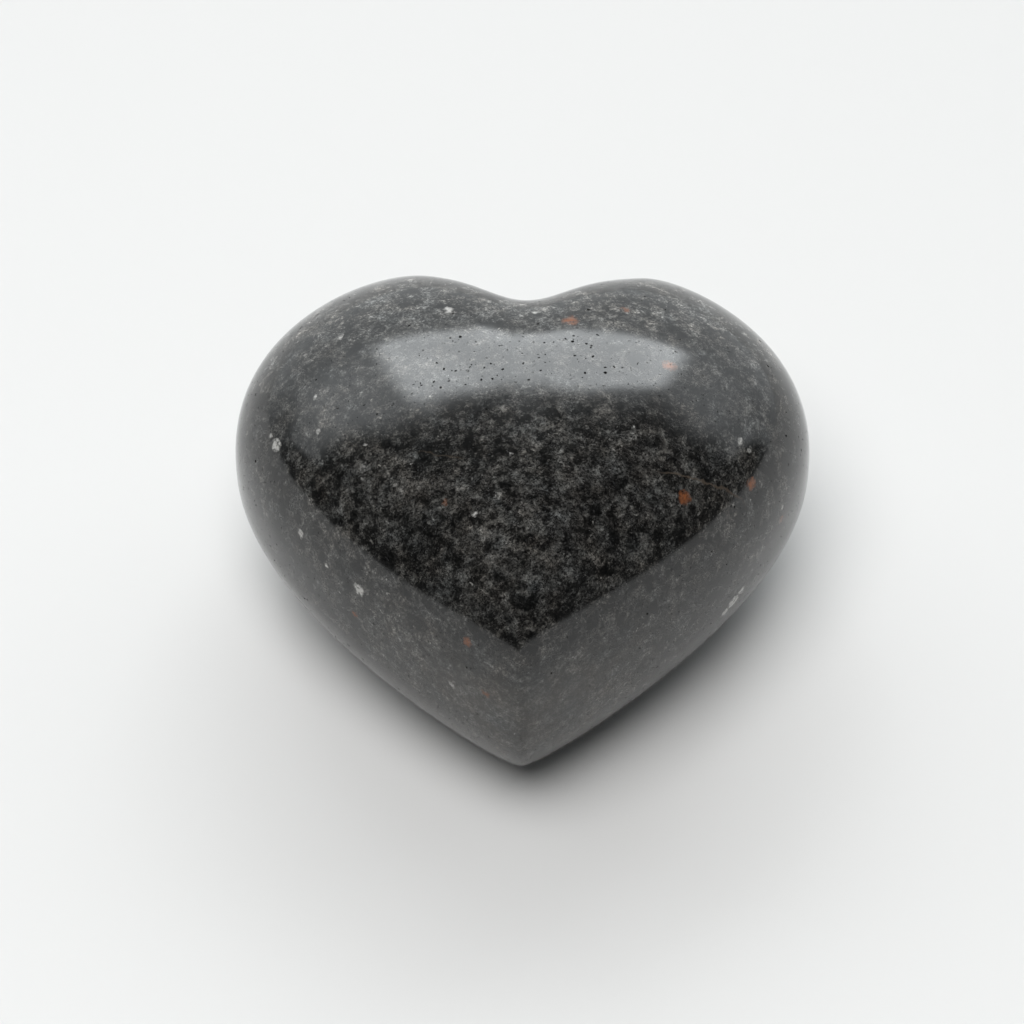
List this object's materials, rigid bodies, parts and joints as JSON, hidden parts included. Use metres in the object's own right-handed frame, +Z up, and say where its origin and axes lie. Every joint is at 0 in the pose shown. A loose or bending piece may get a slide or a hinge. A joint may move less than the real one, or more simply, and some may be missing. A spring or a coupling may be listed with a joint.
{
  "type": "yooperlite heart",
  "caption": "Palm stone cut as a puffy heart from dark speckled sodalite syenite, polished all over, with a small flat ground on its belly to rest on",
  "frame": {"origin": "centre of the bounding box in X and Y, at the height of the flat that the stone rests on", "axes": "+X across the lobes, -Y towards the heart's point, +Y towards the cleft, +Z up"},
  "size_m": [0.0648, 0.059, 0.0372],
  "materials": {
    "stone": "polished to a gloss, charcoal with grey and black grains, a few rust-orange and pale flecks"
  },
  "bodies": {
    "root": {"heart": "stone"}
  },
  "joints": []
}
